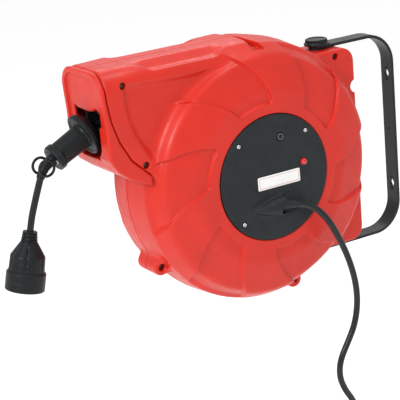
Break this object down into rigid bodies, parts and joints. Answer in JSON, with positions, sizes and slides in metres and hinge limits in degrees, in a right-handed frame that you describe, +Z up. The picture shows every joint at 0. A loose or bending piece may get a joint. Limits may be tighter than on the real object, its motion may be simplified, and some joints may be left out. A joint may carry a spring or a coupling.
{
  "type": "extension cord reel",
  "caption": "Wall-mounted spring-retracting cable reel: round two-part housing on a swivelling U bracket, with a cable stop, a hanging socket and a plug-in supply lead.",
  "frame": {"origin": "midway between the wall plate's two slots, on its back face", "axes": "+X away from the wall, +Y out of the reel's side cover, +Z up"},
  "size_m": [0.5887, 0.2066, 0.664],
  "materials": {
    "red_plastic": "satin moulded ABS with soft gloss",
    "black_plastic": "fine matte moulded plastic",
    "bracket_paint": "black powder coat on steel",
    "cap_plastic": "black satin plastic",
    "zinc_steel": "bright zinc plate",
    "dark_steel": "browned steel screw heads",
    "chrome_steel": "polished chrome plate",
    "plate_white": "printed plate, satin laminate",
    "lamp_red": "translucent red lens",
    "button_grey": "dark satin grey plastic",
    "cable_black": "smooth PVC sheath, soft sheen",
    "tie_black": "nylon hook-and-loop tie",
    "bush_polymer": "black acetal",
    "spool_plastic": "glass-filled nylon",
    "spring_steel": "blued spring steel",
    "brass": "bright brass",
    "brush_copper": "copper-graphite",
    "stop_rubber": "semi-matte rubber",
    "socket_rubber": "semi-matte moulded rubber",
    "insert_plastic": "thermoset insert"
  },
  "bodies": {
    "bracket": {"wall_bracket": "bracket_paint", "pivot_bolts": "zinc_steel", "pivot_caps": "cap_plastic"},
    "housing": {"near_housing": "red_plastic", "far_housing": "red_plastic", "mouth_frame": "red_plastic", "shell_screws": "dark_steel", "side_cover": "black_plastic", "cover_screws": "chrome_steel", "name_plate": "plate_white", "pilot_lamp": "lamp_red", "thermal_cutout": "black_plastic", "strain_relief": "black_plastic", "main_shaft": "zinc_steel", "shaft_nut": "zinc_steel", "shaft_cap": "black_plastic", "spring_arbor": "bush_polymer", "brush_plate": "zinc_steel", "brush_holder": "spool_plastic", "brushes": "brush_copper", "guide_frame": "spool_plastic", "roller_pins": "zinc_steel", "pawl_pin": "zinc_steel", "pawl_spring": "spring_steel", "pivot_bushes": "bush_polymer", "supply_cord": "cable_black", "supply_coil": "cable_black", "coil_tie": "tie_black", "supply_tail": "cable_black", "plug_body": "socket_rubber", "plug_pins": "brass"},
    "spool": {"spool_hub": "spool_plastic", "spool_bushes": "bush_polymer", "near_flange": "spool_plastic", "far_flange": "spool_plastic", "cable_winding": "cable_black", "spring_case": "zinc_steel", "spring_lid": "zinc_steel", "power_spring": "spring_steel", "ratchet_ring": "spool_plastic", "slip_ring_carrier": "spool_plastic", "slip_rings": "brass"},
    "stop_and_socket": {"cable_run": "cable_black", "stop_buffer": "stop_rubber", "stop_collar": "stop_rubber", "stop_elbow": "stop_rubber", "clamp_screws": "zinc_steel", "cord_eyes": "cap_plastic", "outlet_cord": "cable_black", "socket_body": "socket_rubber", "socket_collar": "socket_rubber", "socket_insert": "insert_plastic", "socket_contacts": "brass", "earth_pin": "brass"},
    "reset_button": {"reset_button": "button_grey"},
    "pawl": {"pawl": "spring_steel"},
    "top_roller": {"top_roller": "spool_plastic"},
    "bottom_roller": {"bottom_roller": "spool_plastic"},
    "near_roller": {"near_roller": "spool_plastic"},
    "far_roller": {"far_roller": "spool_plastic"}
  },
  "joints": [
    {"name": "housing_swivel", "type": "hinge", "parent": "bracket", "child": "housing", "pos_m": [0.116, 0, 0.002], "axis": [0, 0, 1], "range_deg": [-75, 75]},
    {"name": "spool_turn", "type": "hinge", "parent": "housing", "child": "spool", "pos_m": [0.246, 0, 0.002], "axis": [0, 1, 0], "range_deg": [0, 80], "stiffness_Nm_per_rad": 0.2, "springref_deg": -171.89},
    {"name": "cord_pull", "type": "slide", "parent": "housing", "child": "stop_and_socket", "axis": [0.9981, 0, -0.061], "range_m": [0, 0.1535]},
    {"name": "button_press", "type": "slide", "parent": "housing", "child": "reset_button", "axis": [0, -1, 0], "range_m": [0, 0.0025], "stiffness_N_per_m": 400},
    {"name": "pawl_turn", "type": "hinge", "parent": "housing", "child": "pawl", "pos_m": [0.13395, 0.0426, 0.03202], "axis": [0, 1, 0], "range_deg": [0, 16], "stiffness_Nm_per_rad": 0.02, "springref_deg": -17.19},
    {"name": "top_roller_turn", "type": "hinge", "parent": "housing", "child": "top_roller", "pos_m": [0.433, 0, 0.11207], "axis": [0, 1, 0], "continuous": true},
    {"name": "bottom_roller_turn", "type": "hinge", "parent": "housing", "child": "bottom_roller", "pos_m": [0.433, 0, 0.08897], "axis": [0, 1, 0], "continuous": true},
    {"name": "near_roller_turn", "type": "hinge", "parent": "housing", "child": "near_roller", "pos_m": [0.418, 0.01155, 0.102], "axis": [0, 0, 1], "continuous": true},
    {"name": "far_roller_turn", "type": "hinge", "parent": "housing", "child": "far_roller", "pos_m": [0.418, -0.01155, 0.102], "axis": [0, 0, 1], "continuous": true}
  ],
  "couplings": [
    {"joint": "cord_pull", "follows": "spool_turn", "m_per_rad": 0.10975}
  ]
}
